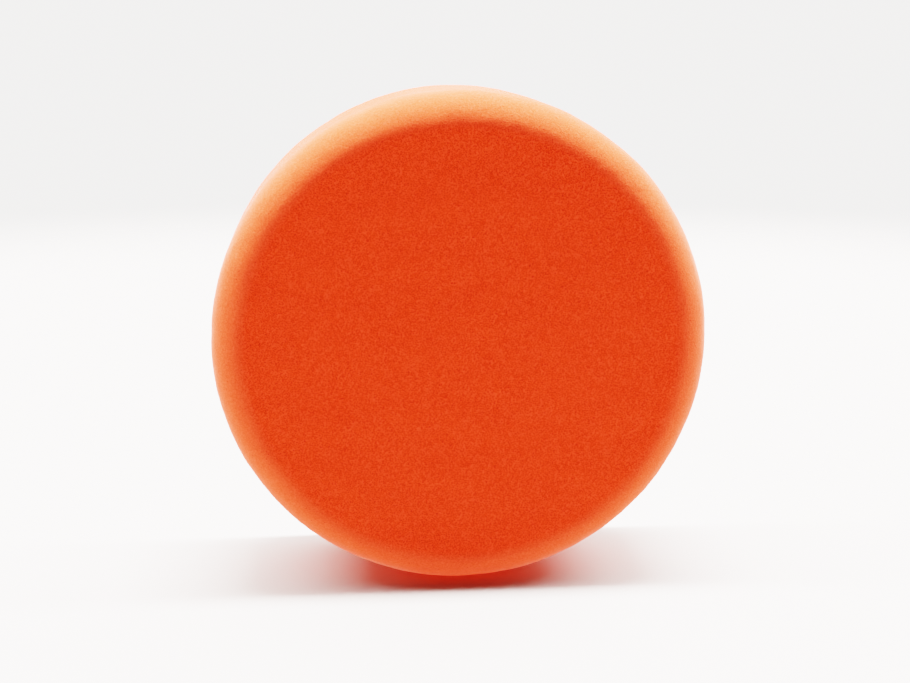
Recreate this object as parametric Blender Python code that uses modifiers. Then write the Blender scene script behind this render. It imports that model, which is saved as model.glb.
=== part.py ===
"""Hook-and-loop foam polishing pad, standing on its edge.

Metres, +Z up. The pad's axis is the Y axis: its working face looks along -Y, and its loop backing along +Y.
The origin is the centre of the loop backing's outer face, where the pad meets a polisher's backing plate.

From the working face to the back, the pad is a foam body, an adhesive film, the base cloth of the loop
fabric, and the pile of loops that stands on that cloth.
"""

import math

import bmesh
import bpy

# Driving dimensions
PAD_DIAMETER = 0.150
PAD_THICKNESS = 0.050  # working face to loop face
FACE_EDGE_RADIUS = 0.010  # the ground, rounded edge round the working face
BACK_EDGE_RADIUS = 0.004

PILE_HEIGHT = 0.0015
PILE_EDGE_RADIUS = 0.0005
CLOTH_THICKNESS = 0.0007
ADHESIVE_THICKNESS = 0.0005
LAYER_GAP = 0.0003  # between two bonded layers, which meshes can't share a face for

BACKING_INSET = 0.001  # from the flat of the foam's back to the cut edge of the loop fabric
ADHESIVE_INSET = 0.0015  # from the cut edge of the loop fabric to the adhesive film's edge

FACETS = 64  # round the axis
ARC_STEPS_FACE = 8
ARC_STEPS_BACK = 5
ARC_STEPS_PILE = 3
MERGE_DISTANCE = 0.00001

# Heights along the axis from the loop face, outermost layer first
PILE_BACK = 0.0
CLOTH_BACK = PILE_BACK + PILE_HEIGHT + LAYER_GAP
ADHESIVE_BACK = CLOTH_BACK + CLOTH_THICKNESS + LAYER_GAP
FOAM_BACK = ADHESIVE_BACK + ADHESIVE_THICKNESS + LAYER_GAP

# Radii from the axis
PAD_RADIUS = PAD_DIAMETER / 2
BACKING_RADIUS = PAD_RADIUS - BACK_EDGE_RADIUS - BACKING_INSET
ADHESIVE_RADIUS = BACKING_RADIUS - ADHESIVE_INSET


def clear_scene():
    for obj in list(bpy.data.objects):
        bpy.data.objects.remove(obj, do_unlink=True)


def make_material(name, colour, roughness):
    """A Principled BSDF of one colour. None of the pad's layers is metal."""
    material = bpy.data.materials.new(name)
    material.use_nodes = True
    shader = material.node_tree.nodes["Principled BSDF"]
    shader.inputs["Base Color"].default_value = (*colour, 1.0)
    shader.inputs["Roughness"].default_value = roughness
    shader.inputs["Metallic"].default_value = 0.0
    return material


def edge_arc(radius, height, fillet, steps, upper):
    """Points that round off the outer corner at (radius, height): an upper corner's arc runs outwards and
    down from the top face, and a lower corner's runs inwards and down to the bottom face."""
    centre_height = height - fillet if upper else height + fillet
    start = math.pi / 2 if upper else 0.0
    points = []
    for step in range(steps + 1):
        angle = start - math.pi / 2 * step / steps
        points.append(
            (
                radius - fillet + fillet * math.cos(angle),
                centre_height + fillet * math.sin(angle),
            )
        )
    return points


def turned_disc(name, outline, material, stand, collection):
    """A solid of revolution on the pad's axis. The outline is (radius, height) points from the axis at the
    top, down the outer side, to the axis at the bottom."""
    shape = bmesh.new()
    verts = [shape.verts.new((radius, 0.0, height)) for radius, height in outline]
    for first, second in zip(verts, verts[1:]):
        shape.edges.new((first, second))
    mesh = bpy.data.meshes.new(name)
    shape.to_mesh(mesh)
    shape.free()

    disc = bpy.data.objects.new(name, mesh)
    collection.objects.link(disc)
    mesh.materials.append(material)

    screw = disc.modifiers.new("turn", "SCREW")
    screw.axis = "Z"
    screw.angle = math.tau
    screw.steps = FACETS
    screw.render_steps = FACETS
    screw.use_merge_vertices = True
    screw.merge_threshold = MERGE_DISTANCE
    screw.use_smooth_shade = True

    disc.parent = stand
    return disc


def plain_outline(radius, bottom, thickness):
    """A flat disc with square-cut edges, as fabric and film are die-cut."""
    top = bottom + thickness
    return [(0.0, top), (radius, top), (radius, bottom), (0.0, bottom)]


def foam_body(stand, collection):
    """One block of open-cell foam. Its face edge is ground to a round, and its back edge is eased."""
    face_edge = edge_arc(PAD_RADIUS, PAD_THICKNESS, FACE_EDGE_RADIUS, ARC_STEPS_FACE, upper=True)
    back_edge = edge_arc(PAD_RADIUS, FOAM_BACK, BACK_EDGE_RADIUS, ARC_STEPS_BACK, upper=False)
    outline = [(0.0, PAD_THICKNESS), *face_edge, *back_edge, (0.0, FOAM_BACK)]
    orange_foam = make_material("orange_foam", (0.78, 0.065, 0.008), 0.95)
    return turned_disc("foam_body", outline, orange_foam, stand, collection)


def adhesive_film(stand, collection):
    """The hot-melt film that bonds the loop fabric to the foam, just short of the fabric's cut edge."""
    outline = plain_outline(ADHESIVE_RADIUS, ADHESIVE_BACK, ADHESIVE_THICKNESS)
    clear_adhesive = make_material("clear_adhesive", (0.72, 0.62, 0.42), 0.35)
    return turned_disc("adhesive_film", outline, clear_adhesive, stand, collection)


def loop_base_cloth(stand, collection):
    """The knitted ground of the loop fabric, cut to the flat of the foam's back."""
    outline = plain_outline(BACKING_RADIUS, CLOTH_BACK, CLOTH_THICKNESS)
    knitted_nylon = make_material("knitted_nylon", (0.60, 0.59, 0.56), 0.85)
    return turned_disc("loop_base_cloth", outline, knitted_nylon, stand, collection)


def loop_pile(stand, collection):
    """The outer shape of the loops, which the backing plate's hooks catch. The pile thins out at its edge."""
    pile_top = PILE_BACK + PILE_HEIGHT
    worn_edge = edge_arc(BACKING_RADIUS, PILE_BACK, PILE_EDGE_RADIUS, ARC_STEPS_PILE, upper=False)
    outline = [(0.0, pile_top), (BACKING_RADIUS, pile_top), *worn_edge, (0.0, PILE_BACK)]
    brushed_nylon = make_material("brushed_nylon", (0.70, 0.69, 0.66), 0.95)
    return turned_disc("loop_pile", outline, brushed_nylon, stand, collection)


def build_pad():
    clear_scene()
    collection = bpy.data.collections.new("polishing_pad")
    bpy.context.scene.collection.children.link(collection)

    # The discs are turned about the stand's Z axis. The stand lays that axis along -Y, and turns it by half a
    # facet, so that the foam rests on a flat and not on a ridge.
    stand = bpy.data.objects.new("pad_axis", None)
    collection.objects.link(stand)
    stand.rotation_mode = "ZYX"
    stand.rotation_euler = (math.pi / 2, 0.0, math.pi / FACETS)

    for layer in (foam_body, adhesive_film, loop_base_cloth, loop_pile):
        layer(stand, collection)


build_pad()
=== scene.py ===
"""A foam polishing pad with a loop backing, standing on its edge on a white studio table.

Metres, +Z up. The pad's axis is the Y axis: its working face looks along -Y and its loop backing along +Y.
"""

import math
import random

import bmesh
import bpy
from mathutils import Matrix, Vector, noise


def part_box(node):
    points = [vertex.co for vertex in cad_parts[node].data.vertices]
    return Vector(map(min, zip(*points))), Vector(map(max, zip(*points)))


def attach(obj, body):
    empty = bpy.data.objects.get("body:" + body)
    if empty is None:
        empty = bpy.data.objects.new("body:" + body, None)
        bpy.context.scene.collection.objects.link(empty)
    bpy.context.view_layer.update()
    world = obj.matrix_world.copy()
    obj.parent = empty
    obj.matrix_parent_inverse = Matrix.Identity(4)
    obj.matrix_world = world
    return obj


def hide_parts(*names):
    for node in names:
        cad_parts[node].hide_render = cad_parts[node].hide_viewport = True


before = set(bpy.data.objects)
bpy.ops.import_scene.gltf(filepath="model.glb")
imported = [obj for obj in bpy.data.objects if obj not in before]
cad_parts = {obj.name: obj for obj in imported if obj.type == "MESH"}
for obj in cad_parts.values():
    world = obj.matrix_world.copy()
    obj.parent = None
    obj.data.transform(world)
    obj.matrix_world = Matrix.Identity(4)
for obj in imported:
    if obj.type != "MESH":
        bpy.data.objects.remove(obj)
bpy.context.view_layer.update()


# ---------------------------------------------------------------------------------------------------------
# Foam body
# One block of open-cell polyurethane foam, turned to a disc. Its working edge is ground to a wide round and
# its back edge is only eased, and the cut cells leave a fine, matt grain all over.
# ---------------------------------------------------------------------------------------------------------

foam_low, foam_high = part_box("foam_body")
PAD_RADIUS = (foam_high.x - foam_low.x) / 2
FACE_Y = foam_low.y
FOAM_BACK_Y = foam_high.y
FACE_EDGE_RADIUS = 0.010
BACK_EDGE_RADIUS = 0.004
RIM_SEGMENTS = 256
RIM_TOLERANCE = 0.000001  # for finding the edges that lie on a rim
FACE_EDGE_SEGMENTS = 16
BACK_EDGE_SEGMENTS = 8

FOAM_GRID = 0.0008  # the mesh's face size, fine enough for the relief below
EDGE_SOFTENING = 12  # passes, which blend the ground edge into the face
EDGE_SOFTENING_SHARE = 0.5  # of the way to the neighbours' middle, in each pass
SINK = 0.0003  # how far the pad's own weight flattens it on the table
FLOOR_Z = foam_low.z + SINK

# The relief: (size of its features, height from lowest to highest)
FOAM_UNEVENNESS = (0.014, 0.0005)
FOAM_CELLS = (0.0024, 0.00012)


def disc_on_axis(radius, front_y, back_y, segments):
    """A closed disc about the Y axis, as a bmesh."""
    disc = bmesh.new()
    bmesh.ops.create_cone(
        disc,
        cap_ends=True,
        segments=segments,
        radius1=radius,
        radius2=radius,
        depth=back_y - front_y,
    )
    bmesh.ops.rotate(disc, verts=disc.verts, matrix=Matrix.Rotation(math.pi / 2, 3, "X"))
    bmesh.ops.translate(disc, verts=disc.verts, vec=(0.0, (front_y + back_y) / 2, 0.0))
    return disc


def round_rim(disc, y, radius, segments):
    """Rounds the circle of edges that lies at this y."""
    rim = [edge for edge in disc.edges if all(abs(vert.co.y - y) < RIM_TOLERANCE for vert in edge.verts)]
    bmesh.ops.bevel(
        disc,
        geom=rim,
        offset=radius,
        offset_type="OFFSET",
        segments=segments,
        profile=0.5,
        affect="EDGES",
        material=-1,
    )


def as_piece(shape, name):
    """Links a bmesh's mesh as a new piece, and frees the bmesh."""
    mesh = bpy.data.meshes.new(name)
    shape.to_mesh(mesh)
    shape.free()
    piece = bpy.data.objects.new(name, mesh)
    bpy.context.scene.collection.objects.link(piece)
    return piece


def set_modifiers(piece):
    """Makes a piece's modified shape its mesh, with no modifier left."""
    graph = bpy.context.evaluated_depsgraph_get()
    mesh = bpy.data.meshes.new_from_object(piece.evaluated_get(graph))
    piece.modifiers.clear()
    piece.data = mesh


def add_relief(piece, name, kind, size_and_height):
    """Raises and sinks a piece's surface by a fixed random pattern."""
    size, height = size_and_height
    pattern = bpy.data.textures.new(name, kind)
    pattern.noise_scale = size
    relief = piece.modifiers.new(name, "DISPLACE")
    relief.texture = pattern
    relief.texture_coords = "LOCAL"
    relief.strength = height
    relief.mid_level = 0.5  # as much sunk as raised


foam_shape = disc_on_axis(PAD_RADIUS, FACE_Y, FOAM_BACK_Y, RIM_SEGMENTS)
round_rim(foam_shape, FACE_Y, FACE_EDGE_RADIUS, FACE_EDGE_SEGMENTS)
round_rim(foam_shape, FOAM_BACK_Y, BACK_EDGE_RADIUS, BACK_EDGE_SEGMENTS)
foam = as_piece(foam_shape, "foam_pad")

even_mesh = foam.modifiers.new("even_mesh", "REMESH")
even_mesh.mode = "VOXEL"
even_mesh.voxel_size = FOAM_GRID
soft_edges = foam.modifiers.new("soft_edges", "SMOOTH")
soft_edges.factor = EDGE_SOFTENING_SHARE
soft_edges.iterations = EDGE_SOFTENING
add_relief(foam, "foam_unevenness", "CLOUDS", FOAM_UNEVENNESS)
add_relief(foam, "foam_cells", "CLOUDS", FOAM_CELLS)
set_modifiers(foam)

for vert in foam.data.vertices:
    vert.co.z = max(vert.co.z, FLOOR_Z)
foam.data.shade_smooth()


class Finish:
    """A material's node tree, with its Principled shader and the piece's own Object coordinates."""

    def __init__(self, name, colour, roughness):
        self.material = bpy.data.materials.new(name)
        self.material.use_nodes = True
        self.nodes = self.material.node_tree.nodes
        self.links = self.material.node_tree.links
        self.shader = self.nodes["Principled BSDF"]
        self.shader.inputs["Base Color"].default_value = (*colour, 1.0)
        self.shader.inputs["Roughness"].default_value = roughness
        self.place = self.nodes.new("ShaderNodeTexCoord").outputs["Object"]

    def cells(self, size):
        """Distance from the nearest cell's centre: 0 in the pore, about 0.6 at the walls."""
        node = self.nodes.new("ShaderNodeTexVoronoi")
        node.inputs["Scale"].default_value = 1 / size
        self.links.new(self.place, node.inputs["Vector"])
        return node.outputs["Distance"]

    def ribs(self, pitch, unevenness):
        """Ribs along X, from 0 in a groove to 1 on a rib."""
        pitch_unscaled = math.tau / 20  # of the node's own waves
        node = self.nodes.new("ShaderNodeTexWave")
        node.bands_direction = "Z"
        node.inputs["Scale"].default_value = pitch_unscaled / pitch
        node.inputs["Distortion"].default_value = unevenness
        self.links.new(self.place, node.inputs["Vector"])
        return node.outputs["Fac"]

    def mottle(self, size, detail=2.0, roughness=0.5):
        """A cloudy pattern from 0 to 1, with features of this size."""
        node = self.nodes.new("ShaderNodeTexNoise")
        node.inputs["Scale"].default_value = 1 / size
        node.inputs["Detail"].default_value = detail
        node.inputs["Roughness"].default_value = roughness
        self.links.new(self.place, node.inputs["Vector"])
        return node.outputs["Fac"]

    def along(self, weights, near, far):
        """0 up to the near distance and 1 from the far one, measured along or from the axes weighed."""
        weighed = self.nodes.new("ShaderNodeVectorMath")
        weighed.operation = "MULTIPLY"
        weighed.inputs[1].default_value = weights
        self.links.new(self.place, weighed.inputs[0])
        length = self.nodes.new("ShaderNodeVectorMath")
        length.operation = "LENGTH"
        self.links.new(weighed.outputs["Vector"], length.inputs[0])
        rise = self.nodes.new("ShaderNodeMapRange")
        rise.interpolation_type = "SMOOTHSTEP"
        rise.inputs["From Min"].default_value = near
        rise.inputs["From Max"].default_value = far
        self.links.new(length.outputs["Value"], rise.inputs["Value"])
        return rise.outputs["Result"]

    def ramp(self, value, *stops):
        """Colours by value: each stop is (value, colour)."""
        node = self.nodes.new("ShaderNodeValToRGB")
        while len(node.color_ramp.elements) < len(stops):
            node.color_ramp.elements.new(0.5)  # anywhere, until the loop below places it
        for element, (at, colour) in zip(node.color_ramp.elements, stops):
            element.position = at
            element.color = (*colour, 1.0)
        self.links.new(value, node.inputs["Fac"])
        return node.outputs["Color"]

    def mix(self, first, second, factor, blend="MIX"):
        """Two colours blended. Each of the three values is a number, a colour or a socket."""
        node = self.nodes.new("ShaderNodeMix")
        node.data_type = "RGBA"
        node.blend_type = blend
        for socket, value in (("Factor", factor), ("A", first), ("B", second)):
            found = [s for s in node.inputs if s.name == socket and s.enabled][0]
            if hasattr(value, "node"):
                self.links.new(value, found)
            else:
                found.default_value = value
        return [s for s in node.outputs if s.enabled][0]

    def bump(self, height, distance, strength):
        """A relief that shades the surface by a pattern's height, and leaves its shape alone."""
        node = self.nodes.new("ShaderNodeBump")
        node.inputs["Distance"].default_value = distance
        node.inputs["Strength"].default_value = strength
        self.links.new(height, node.inputs["Height"])
        return node.outputs["Normal"]

    def feed(self, value, socket):
        """Links a value to one of the shader's own sockets."""
        self.links.new(value, self.shader.inputs[socket])


FOAM_ROUGHNESS = 0.95
FOAM_GLOSS = 0.15  # smooth plastic has 0.5
FOAM_SHEEN = 0.2
FOAM_SHEEN_ROUGHNESS = 0.4
FOAM_SHEEN_TINT = (1.0, 0.9, 0.8, 1.0)

# Each pore is dark inside and light on the walls round it. Stops are (distance from its centre, colour).
PORE_SIZE = 0.00045
PORE_RELIEF = (0.0002, 0.2)  # (depth, strength)
FOAM_DARK = (0.30, 0.024, 0.001)
FOAM_MAIN = (0.79, 0.052, 0.008)
FOAM_LIGHT = (0.99, 0.078, 0.031)
PORE_COLOURS = ((0.05, FOAM_DARK), (0.35, FOAM_MAIN), (0.75, FOAM_LIGHT))

# Two patterns shade those colours: a coarser grain, and the few cells that are cut open wider.
UNSHADED = (1.0, 1.0, 1.0)
GRAIN_SIZE = 0.0007
GRAIN_DETAIL = 3.0
GRAIN_ROUGHNESS = 0.6
GRAIN_SHADES = ((0.3, (0.84, 0.80, 0.60)), (0.7, UNSHADED))
PIT_SPACING = 0.0014
PIT_SHADES = ((0.06, (0.66, 0.50, 0.40)), (0.17, UNSHADED))

# A painted highlight: the rounded edge is painted a paler orange, from just inside the round to a little
# behind the face, which stands in for the light that the edge catches.
FOAM_PAINTED_HIGHLIGHT = (0.85, 0.089, 0.045, 1.0)
HIGHLIGHT_COVER = 0.5  # how much of that colour covers the pores'
HIGHLIGHT_INSIDE = 0.0015
HIGHLIGHT_FADE = 0.004
HIGHLIGHT_DEPTHS = (0.005, 0.012)  # behind the face, from where it starts to fade to where it ends
HIGHLIGHT_FROM = PAD_RADIUS - FACE_EDGE_RADIUS - HIGHLIGHT_INSIDE
HIGHLIGHT_TO = HIGHLIGHT_FROM + HIGHLIGHT_FADE
HIGHLIGHT_FRONT = -FACE_Y - HIGHLIGHT_DEPTHS[0]
HIGHLIGHT_BACK = -FACE_Y - HIGHLIGHT_DEPTHS[1]

orange_foam = Finish("orange_foam", FOAM_MAIN, FOAM_ROUGHNESS)
pores = orange_foam.cells(PORE_SIZE)
foam_colours = orange_foam.ramp(pores, *PORE_COLOURS)
# Painted highlight: this mask picks out the rounded edge, where the foam's colours are mixed towards the
# paler orange.
out_from_axis = orange_foam.along((1.0, 0.0, 1.0), HIGHLIGHT_FROM, HIGHLIGHT_TO)
towards_face = orange_foam.along((0.0, 1.0, 0.0), HIGHLIGHT_BACK, HIGHLIGHT_FRONT)
edge_highlight_mask = orange_foam.nodes.new("ShaderNodeMath")
edge_highlight_mask.operation = "MULTIPLY"
orange_foam.links.new(out_from_axis, edge_highlight_mask.inputs[0])
orange_foam.links.new(towards_face, edge_highlight_mask.inputs[1])
highlight_colours = orange_foam.mix(foam_colours, FOAM_PAINTED_HIGHLIGHT, HIGHLIGHT_COVER)
foam_colours = orange_foam.mix(foam_colours, highlight_colours, edge_highlight_mask.outputs["Value"])
grain = orange_foam.mottle(GRAIN_SIZE, detail=GRAIN_DETAIL, roughness=GRAIN_ROUGHNESS)
grain_shade = orange_foam.ramp(grain, *GRAIN_SHADES)
pits = orange_foam.cells(PIT_SPACING)
pit_shade = orange_foam.ramp(pits, *PIT_SHADES)
foam_colours = orange_foam.mix(foam_colours, grain_shade, 1.0, "MULTIPLY")
foam_colours = orange_foam.mix(foam_colours, pit_shade, 1.0, "MULTIPLY")
orange_foam.feed(foam_colours, "Base Color")
orange_foam.feed(orange_foam.bump(pores, *PORE_RELIEF), "Normal")
orange_foam.shader.inputs["Specular IOR Level"].default_value = FOAM_GLOSS
orange_foam.shader.inputs["Sheen Weight"].default_value = FOAM_SHEEN
orange_foam.shader.inputs["Sheen Roughness"].default_value = FOAM_SHEEN_ROUGHNESS
orange_foam.shader.inputs["Sheen Tint"].default_value = FOAM_SHEEN_TINT
foam.data.materials.clear()
foam.data.materials.append(orange_foam.material)

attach(foam, "root")
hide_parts("foam_body")


# ---------------------------------------------------------------------------------------------------------
# Adhesive film
# A hot-melt film that bonds the loop fabric to the foam. The press squeezes its rim out to an uneven bead.
# ---------------------------------------------------------------------------------------------------------

adhesive_low, adhesive_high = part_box("adhesive_film")
ADHESIVE_RADIUS = (adhesive_high.x - adhesive_low.x) / 2
BEAD_ROUNDING = 0.0002
BEAD_SEGMENTS = 3
BEAD_UNEVENNESS = 0.0004  # most that the bead's edge is pressed out or held back
BEAD_PITCH = 0.005
BEAD_PATTERN = 0.3  # the slice of the random pattern that the bead follows


def uneven_edge(disc, most, pitch, slice_at):
    """Moves a disc's rim out and in by a slice of a fixed random pattern."""
    for vert in disc.verts:
        outward = Vector((vert.co.x, 0.0, vert.co.z))
        across = outward / pitch + Vector((0.0, slice_at, 0.0))
        vert.co += outward.normalized() * most * noise.noise(across)


adhesive_shape = disc_on_axis(ADHESIVE_RADIUS, adhesive_low.y, adhesive_high.y, RIM_SEGMENTS)
round_rim(adhesive_shape, adhesive_low.y, BEAD_ROUNDING, BEAD_SEGMENTS)
round_rim(adhesive_shape, adhesive_high.y, BEAD_ROUNDING, BEAD_SEGMENTS)
uneven_edge(adhesive_shape, BEAD_UNEVENNESS, BEAD_PITCH, BEAD_PATTERN)
adhesive = as_piece(adhesive_shape, "adhesive_layer")

ADHESIVE_ROUGHNESS = 0.35
ADHESIVE_THIN = (0.76, 0.64, 0.44)
ADHESIVE_THICK = (0.62, 0.46, 0.26)
FLOW_SIZE = 0.004
FLOW_COLOURS = ((0.35, ADHESIVE_THICK), (0.65, ADHESIVE_THIN))
FLOW_RELIEF = (0.0002, 0.4)  # (depth, strength)
clear_adhesive = Finish("clear_adhesive", ADHESIVE_THIN, ADHESIVE_ROUGHNESS)
flow = clear_adhesive.mottle(FLOW_SIZE)
clear_adhesive.feed(clear_adhesive.ramp(flow, *FLOW_COLOURS), "Base Color")
clear_adhesive.feed(clear_adhesive.bump(flow, *FLOW_RELIEF), "Normal")
adhesive.data.materials.append(clear_adhesive.material)
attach(adhesive, "root")
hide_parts("adhesive_film")


# ---------------------------------------------------------------------------------------------------------
# Ground cloth of the loop fabric
# A knitted nylon cloth, die-cut to a disc and bonded to the foam. The pile stands on its outer side.
# ---------------------------------------------------------------------------------------------------------

cloth_low, cloth_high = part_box("loop_base_cloth")
CLOTH_RADIUS = (cloth_high.x - cloth_low.x) / 2
CLOTH_ROUNDING = 0.00025
CLOTH_EDGE_SEGMENTS = 3
CLOTH_SEGMENTS = 768  # round the cut edge, about three for every two stitches
ROW_PITCH = 0.0009  # of the knit
STITCH_PITCH = 0.0009
CUT_UNEVENNESS = STITCH_PITCH / 4
CUT_PATTERN = 0.7  # the slice of the random pattern that the cut edge follows

cloth_shape = disc_on_axis(CLOTH_RADIUS, cloth_low.y, cloth_high.y, CLOTH_SEGMENTS)
round_rim(cloth_shape, cloth_low.y, CLOTH_ROUNDING, CLOTH_EDGE_SEGMENTS)
round_rim(cloth_shape, cloth_high.y, CLOTH_ROUNDING, CLOTH_EDGE_SEGMENTS)
uneven_edge(cloth_shape, CUT_UNEVENNESS, STITCH_PITCH, CUT_PATTERN)
cloth = as_piece(cloth_shape, "ground_cloth")

KNIT_MAIN = (0.60, 0.59, 0.56)
KNIT_GROOVE = (0.40, 0.39, 0.37)
KNIT_RIB = (0.66, 0.65, 0.62)
KNIT_ROUGHNESS = 0.85
KNIT_SHEEN = 0.3
RIB_WAVINESS = 2.0
RIB_COLOURS = ((0.1, KNIT_GROOVE), (0.6, KNIT_RIB))
RIB_RELIEF = (0.0001, 0.5)  # (depth, strength)
STITCH_SHADES = ((0.1, UNSHADED), (0.8, (0.75, 0.75, 0.75)))
knitted_nylon = Finish("knitted_nylon", KNIT_MAIN, KNIT_ROUGHNESS)
ribs = knitted_nylon.ribs(ROW_PITCH, RIB_WAVINESS)
rib_colours = knitted_nylon.ramp(ribs, *RIB_COLOURS)
stitch_shade = knitted_nylon.ramp(knitted_nylon.cells(STITCH_PITCH), *STITCH_SHADES)
knitted_nylon.feed(knitted_nylon.mix(rib_colours, stitch_shade, 1.0, "MULTIPLY"), "Base Color")
knitted_nylon.feed(knitted_nylon.bump(ribs, *RIB_RELIEF), "Normal")
knitted_nylon.shader.inputs["Sheen Weight"].default_value = KNIT_SHEEN
cloth.data.materials.append(knitted_nylon.material)
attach(cloth, "root")
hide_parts("loop_base_cloth")


# ---------------------------------------------------------------------------------------------------------
# Pile of the loop fabric
# Thousands of small loops of nylon yarn, which a backing plate's hooks catch. They stand in rows along the
# knit, and brushing has laid each one over its own way. Every fourth row belongs to the same piece, as if
# each piece came from one of the knitting machine's four bars.
# ---------------------------------------------------------------------------------------------------------

_, pile_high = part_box("loop_pile")
KNIT_BARS = 4
YARN_RADIUS = 0.0001
YARN_SIDES = 3
ROOT_Y = cloth_high.y - YARN_RADIUS  # the feet of the loops are in the cloth
PILE_RADIUS = CLOTH_RADIUS - STITCH_PITCH / 2
LOOP_STEPS = 6
LOOP_TURN = math.radians(250)
LOOP_BEND = 0.00045  # radius of the yarn's bend, before each loop gets its own width and height
LOOP_TALL = LOOP_BEND * (1.0 - math.cos(LOOP_TURN / 2)) + YARN_RADIUS
TALLEST = (pile_high.y - ROOT_Y) / LOOP_TALL


def one_loop():
    """A loop of yarn bent in the XY plane, with its feet at y = 0."""
    yarn = bmesh.new()
    bmesh.ops.create_circle(yarn, cap_ends=True, segments=YARN_SIDES, radius=YARN_RADIUS)
    bmesh.ops.rotate(yarn, verts=yarn.verts, matrix=Matrix.Rotation(math.pi / 2, 3, "X"))
    bmesh.ops.translate(yarn, verts=yarn.verts, vec=(LOOP_BEND, 0.0, 0.0))
    bmesh.ops.rotate(
        yarn,
        verts=yarn.verts,
        matrix=Matrix.Rotation(math.pi / 2 - LOOP_TURN / 2, 3, "Z"),
    )
    bmesh.ops.spin(
        yarn,
        geom=yarn.faces[:],
        axis=(0.0, 0.0, 1.0),
        angle=LOOP_TURN,
        steps=LOOP_STEPS,
    )
    bmesh.ops.translate(yarn, verts=yarn.verts, vec=(0.0, -LOOP_BEND * math.cos(LOOP_TURN / 2), 0.0))
    bmesh.ops.recalc_face_normals(yarn, faces=yarn.faces)
    mesh = bpy.data.meshes.new("one_loop")
    yarn.to_mesh(mesh)
    yarn.free()
    return mesh


# How far the pile leans, as a share of its height: each of the two is (size of a brushed patch, most lean).
LIE_ACROSS = (0.018, 0.5)
LIE_ALONG = (0.012, 0.6)
LIE_OF_ALL = 0.35
ALONG_PATTERN = Vector((0.0, 0.0, 5.0))  # keeps the second pattern unlike the first
OUTER_PILE = 0.003  # the ring at the edge, where the pile stands straighter
OUTER_LEAN = 0.3  # of the lean further in


def lie_of_the_pile(x, z):
    """How far, and which way, brushing has laid the pile over at this place."""
    place = Vector((x, z, 0.0))
    lean_x = LIE_OF_ALL + LIE_ACROSS[1] * noise.noise(place / LIE_ACROSS[0])
    lean_z = LIE_ALONG[1] * noise.noise(place / LIE_ALONG[0] + ALONG_PATTERN)
    room = (PILE_RADIUS - place.length) / OUTER_PILE
    share = min(1.0, max(OUTER_LEAN, room))
    return lean_x * share, lean_z * share, share


YARN_MAIN = (0.70, 0.69, 0.66)
YARN_SHADE = (0.56, 0.55, 0.53)
YARN_LIGHT = (0.78, 0.77, 0.74)
YARN_ROUGHNESS = 0.8
YARN_SHEEN = 0.3
YARN_SHEEN_ROUGHNESS = 0.4
TUFT_SIZE = 0.0035
TUFT_DETAIL = 4.0
TUFT_ROUGHNESS = 0.7
TUFT_COLOURS = ((0.3, YARN_SHADE), (0.62, YARN_LIGHT))
brushed_nylon = Finish("brushed_nylon", YARN_MAIN, YARN_ROUGHNESS)
tufts = brushed_nylon.mottle(TUFT_SIZE, detail=TUFT_DETAIL, roughness=TUFT_ROUGHNESS)
brushed_nylon.feed(brushed_nylon.ramp(tufts, *TUFT_COLOURS), "Base Color")
brushed_nylon.shader.inputs["Sheen Weight"].default_value = YARN_SHEEN
brushed_nylon.shader.inputs["Sheen Roughness"].default_value = YARN_SHEEN_ROUGHNESS

PLACE_SPREAD = 0.1  # of a pitch
TURN_SPREAD = 0.6
LEAN_SPREAD = 0.3
LOOP_WIDTHS = (0.8, 1.25)  # of the loop as it is bent
LOOP_HEIGHTS = (0.7, 1.0)  # of the tallest
PILE_SEED = 4
chance = random.Random(PILE_SEED)
loop_mesh = one_loop()
rows = math.floor(PILE_RADIUS / ROW_PITCH)
bars = [bmesh.new() for _ in range(KNIT_BARS)]
for row in range(-rows, rows + 1):
    yarn_row = bmesh.new()
    row_z = row * ROW_PITCH
    half_row = math.floor(math.sqrt(PILE_RADIUS**2 - row_z**2) / STITCH_PITCH)
    for stitch in range(-half_row, half_row + 1):
        x = (stitch + row % 2 / 2 + chance.gauss(0.0, PLACE_SPREAD)) * STITCH_PITCH
        z = row_z + chance.gauss(0.0, PLACE_SPREAD) * ROW_PITCH
        lean_x, lean_z, share = lie_of_the_pile(x, z)
        turn = Matrix.Rotation(chance.gauss(0.0, TURN_SPREAD), 4, "Y")
        tall = TALLEST * chance.uniform(*LOOP_HEIGHTS)
        size = Matrix.Diagonal((chance.uniform(*LOOP_WIDTHS), tall, 1.0, 1.0))
        lean = Matrix.Identity(4)
        lean[0][1] = lean_x + chance.gauss(0.0, LEAN_SPREAD) * share
        lean[2][1] = lean_z + chance.gauss(0.0, LEAN_SPREAD) * share
        loop = loop_mesh.copy()
        loop.transform(Matrix.Translation((x, ROOT_Y, z)) @ lean @ turn @ size)
        yarn_row.from_mesh(loop)
        bpy.data.meshes.remove(loop)
    row_mesh = bpy.data.meshes.new("yarn_row")
    yarn_row.to_mesh(row_mesh)
    yarn_row.free()
    bars[row % KNIT_BARS].from_mesh(row_mesh)
    bpy.data.meshes.remove(row_mesh)
bpy.data.meshes.remove(loop_mesh)

pile = []
for number, bar in enumerate(bars, start=1):
    loops = as_piece(bar, f"pile_loops_{number}")
    loops.data.shade_smooth()
    loops.data.materials.append(brushed_nylon.material)
    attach(loops, "root")
    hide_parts("loop_pile")
    pile.append(loops)


# ---------------------------------------------------------------------------------------------------------
# Table
# A round studio table covered in matt white paper, which the pad stands on. It fades out into the tent's
# tone, so that it has no edge. It isn't part of the object.
# ---------------------------------------------------------------------------------------------------------

TABLE_RADIUS = 1.3
TABLE_SEGMENTS = 128
TABLE_FADE = (0.55, 0.95)  # distances from the middle, from solid paper to none
PAPER_ROUGHNESS = 0.9

# The paper is seen in a warm white, and gives back less light than that to the pad, whose lower half would
# otherwise lose its shading.
TABLE_ALBEDO = 0.17
TABLE_SEEN = (0.44, 0.39, 0.37, 1.0)

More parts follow.
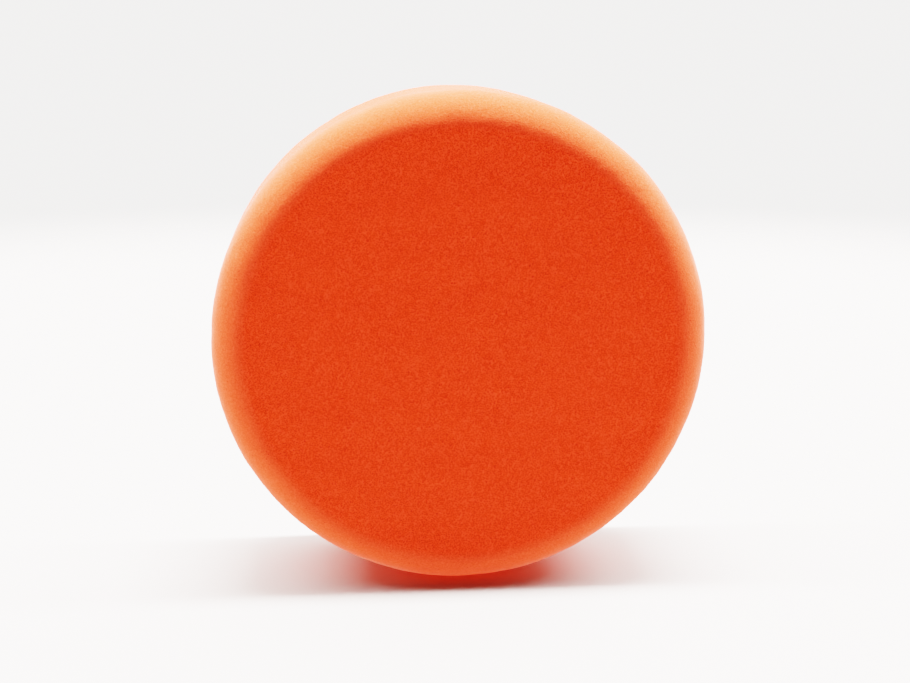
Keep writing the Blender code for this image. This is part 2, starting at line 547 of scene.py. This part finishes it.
table_shape = bmesh.new()
bmesh.ops.create_circle(table_shape, cap_ends=True, segments=TABLE_SEGMENTS, radius=TABLE_RADIUS)
bmesh.ops.translate(table_shape, verts=table_shape.verts, vec=(0.0, 0.0, FLOOR_Z))
table = as_piece(table_shape, "table")
white_paper = Finish("white_paper", (TABLE_ALBEDO,) * 3, PAPER_ROUGHNESS)
white_paper.shader.inputs["Specular IOR Level"].default_value = 0.0
distance = white_paper.nodes.new("ShaderNodeVectorMath")
distance.operation = "LENGTH"
white_paper.links.new(white_paper.place, distance.inputs[0])
fade = white_paper.nodes.new("ShaderNodeMapRange")
fade.interpolation_type = "SMOOTHSTEP"
fade.inputs["From Min"].default_value = TABLE_FADE[0]
fade.inputs["From Max"].default_value = TABLE_FADE[1]
fade.inputs["To Min"].default_value = 1.0
fade.inputs["To Max"].default_value = 0.0
white_paper.links.new(distance.outputs["Value"], fade.inputs["Value"])
white_paper.links.new(fade.outputs["Result"], white_paper.shader.inputs["Alpha"])
paper_ray = white_paper.nodes.new("ShaderNodeLightPath").outputs["Is Camera Ray"]
paper_colour = white_paper.mix((TABLE_ALBEDO,) * 3 + (1.0,), TABLE_SEEN, paper_ray)
white_paper.feed(paper_colour, "Base Color")
table.data.materials.append(white_paper.material)


# ---------------------------------------------------------------------------------------------------------
# Lights
# A white tent, bright behind the pad and dim in front, where it opens, with a row of tubes overhead. A strip
# at each side and a glow from below light the pad alone, and two soft fills light the table alone.
# ---------------------------------------------------------------------------------------------------------

view = bpy.context.scene.view_settings
view.view_transform = "Filmic"
view.look = "Very High Contrast"

TENT_TOP = 3.0
TENT_SIDE = 2.0
TENT_FRONT = 0.05
TENT_OPENING = (-0.1, 0.3)  # along Y, between the open front and the closed tent
TENT_RISE = (0.0, 1.0)  # along Z, between the tent's sides and its top
TENT_COLOUR = (1.0, 0.99, 0.975, 1.0)
TENT_SEEN = (1.85, 1.78, 1.72, 1.0)  # its tone as a backdrop
world = bpy.data.worlds.new("tent")
world.use_nodes = True
tent = world.node_tree
direction = tent.nodes.new("ShaderNodeTexCoord").outputs["Generated"]
split = tent.nodes.new("ShaderNodeSeparateXYZ")
tent.links.new(direction, split.inputs["Vector"])


def tent_range(value, from_range, to_range):
    """A number that goes smoothly from one end of a range to the other."""
    node = tent.nodes.new("ShaderNodeMapRange")
    node.interpolation_type = "SMOOTHSTEP"
    node.inputs["From Min"].default_value = from_range[0]
    node.inputs["From Max"].default_value = from_range[1]
    node.inputs["To Min"].default_value = to_range[0]
    tent.links.new(value, node.inputs["Value"])
    if hasattr(to_range[1], "node"):
        tent.links.new(to_range[1], node.inputs["To Max"])
    else:
        node.inputs["To Max"].default_value = to_range[1]
    return node.outputs["Result"]


closed_tent = tent_range(split.outputs["Z"], TENT_RISE, (TENT_SIDE, TENT_TOP))
tent_strength = tent_range(split.outputs["Y"], TENT_OPENING, (TENT_FRONT, closed_tent))
tent_light = tent.nodes["Background"]
tent_light.inputs["Color"].default_value = TENT_COLOUR
tent.links.new(tent_strength, tent_light.inputs["Strength"])
tent_seen = tent.nodes.new("ShaderNodeBackground")
tent_seen.inputs["Color"].default_value = TENT_SEEN
which_ray = tent.nodes.new("ShaderNodeLightPath")
choice = tent.nodes.new("ShaderNodeMixShader")
tent.links.new(which_ray.outputs["Is Camera Ray"], choice.inputs["Fac"])
tent.links.new(tent_light.outputs["Background"], choice.inputs[1])
tent.links.new(tent_seen.outputs["Background"], choice.inputs[2])
tent.links.new(choice.outputs["Shader"], tent.nodes["World Output"].inputs["Surface"])
bpy.context.scene.world = world


def softbox(name, place, aim, size, power):
    """A rectangular light that looks from one point to another. It isn't seen itself."""
    light = bpy.data.lights.new(name, "AREA")
    light.shape = "RECTANGLE"
    light.size, light.size_y = size
    light.energy = power
    lamp = bpy.data.objects.new(name, light)
    lamp.location = place
    lamp.rotation_mode = "QUATERNION"
    lamp.rotation_quaternion = (Vector(place) - Vector(aim)).to_track_quat("Z", "Y")
    lamp.visible_camera = False
    bpy.context.scene.collection.objects.link(lamp)
    return lamp


# A bright row of tubes with a dimmer, longer one in line with it, so that the shadow's ends are soft.
TUBE_HEIGHT = 3.0
TUBE_WIDTH = 0.24
TUBE_BEHIND = 0.215
TUBE_RIGHT = 0.2
TUBES = ((1.6, 310.0), (8.0, 670.0))  # (length, power)
for tube_length, tube_power in TUBES:
    tube_place = (TUBE_RIGHT, FACE_Y + TUBE_BEHIND, FLOOR_Z + TUBE_HEIGHT)
    tube_aim = (TUBE_RIGHT, FACE_Y + TUBE_BEHIND, FLOOR_Z)
    softbox("tube", tube_place, tube_aim, (tube_length, TUBE_WIDTH), tube_power)

# The strips and the glow are for the pad alone, and leave its shadow on the table as it is.
pad_alone = bpy.data.collections.new("pad_alone")
for piece in (foam, adhesive, cloth, *pile):
    pad_alone.objects.link(piece)

STRIP_DISTANCE = 2.0
STRIP_HEIGHT = 0.35
STRIP_SIZE = (0.4, 0.9)
STRIP_POWER = 48.0
for side in (-1.0, 1.0):
    strip_place = (side * STRIP_DISTANCE, FACE_Y, FLOOR_Z + STRIP_HEIGHT)
    strip = softbox("side_strip", strip_place, (0.0, FACE_Y, 0.0), STRIP_SIZE, STRIP_POWER)
    strip.light_linking.receiver_collection = pad_alone

# Two soft fills for the table alone, which open up the shadow beside the pad.
table_alone = bpy.data.collections.new("table_alone")
table_alone.objects.link(table)
FILL_ASIDE = 1.4
FILL_BEHIND = 1.4
FILL_HEIGHT = 1.5
FILL_SIZE = (1.5, 1.5)
FILL_POWERS = {-1.0: 6.0, 1.0: 45.0}  # side: power, because the shadow's right end is fainter
for side, power in FILL_POWERS.items():
    fill_place = (side * FILL_ASIDE, FACE_Y + FILL_BEHIND, FLOOR_Z + FILL_HEIGHT)
    fill = softbox("table_fill", fill_place, (0.0, FACE_Y, FLOOR_Z), FILL_SIZE, power)
    fill.light_linking.receiver_collection = table_alone

# A glow from below, as a table lit from underneath gives.
GLOW_STRENGTH = 4.4
GLOW_TILT = math.radians(24.0)  # towards the front
GLOW_SPREAD = math.radians(60.0)
glow_light = bpy.data.lights.new("table_glow", "SUN")
glow_light.energy = GLOW_STRENGTH
glow_light.angle = GLOW_SPREAD
glow = bpy.data.objects.new("table_glow", glow_light)
glow.rotation_euler = (math.pi - GLOW_TILT, 0.0, 0.0)
bpy.context.scene.collection.objects.link(glow)
glow.light_linking.receiver_collection = pad_alone
glow.light_linking.blocker_collection = pad_alone


# ---------------------------------------------------------------------------------------------------------
# Camera
# It stands close in front of the working face, a little to the left and above, and looks nearly at the
# face's centre. The top of the pad's side wall just shows.
# ---------------------------------------------------------------------------------------------------------

CAMERA_DISTANCE = 0.435  # from the face's centre
CAMERA_AZIMUTH = math.radians(-5.0)
CAMERA_ELEVATION = math.radians(12.6)
CAMERA_NEAREST = 0.01
AIM = Vector((-0.0026, FACE_Y, 0.0018))
LENS_MM = 58.1
SENSOR_MM = 36.0

camera_data = bpy.data.cameras.new("camera")
camera_data.lens = LENS_MM
camera_data.sensor_width = SENSOR_MM
camera_data.clip_start = CAMERA_NEAREST
camera = bpy.data.objects.new("camera", camera_data)
bpy.context.scene.collection.objects.link(camera)
back = Vector(
    (
        math.sin(CAMERA_AZIMUTH) * math.cos(CAMERA_ELEVATION),
        -math.cos(CAMERA_AZIMUTH) * math.cos(CAMERA_ELEVATION),
        math.sin(CAMERA_ELEVATION),
    )
)
camera.location = Vector((0.0, FACE_Y, 0.0)) + back * CAMERA_DISTANCE
camera.rotation_mode = "QUATERNION"
camera.rotation_quaternion = (camera.location - AIM).to_track_quat("Z", "Y")
bpy.context.scene.camera = camera
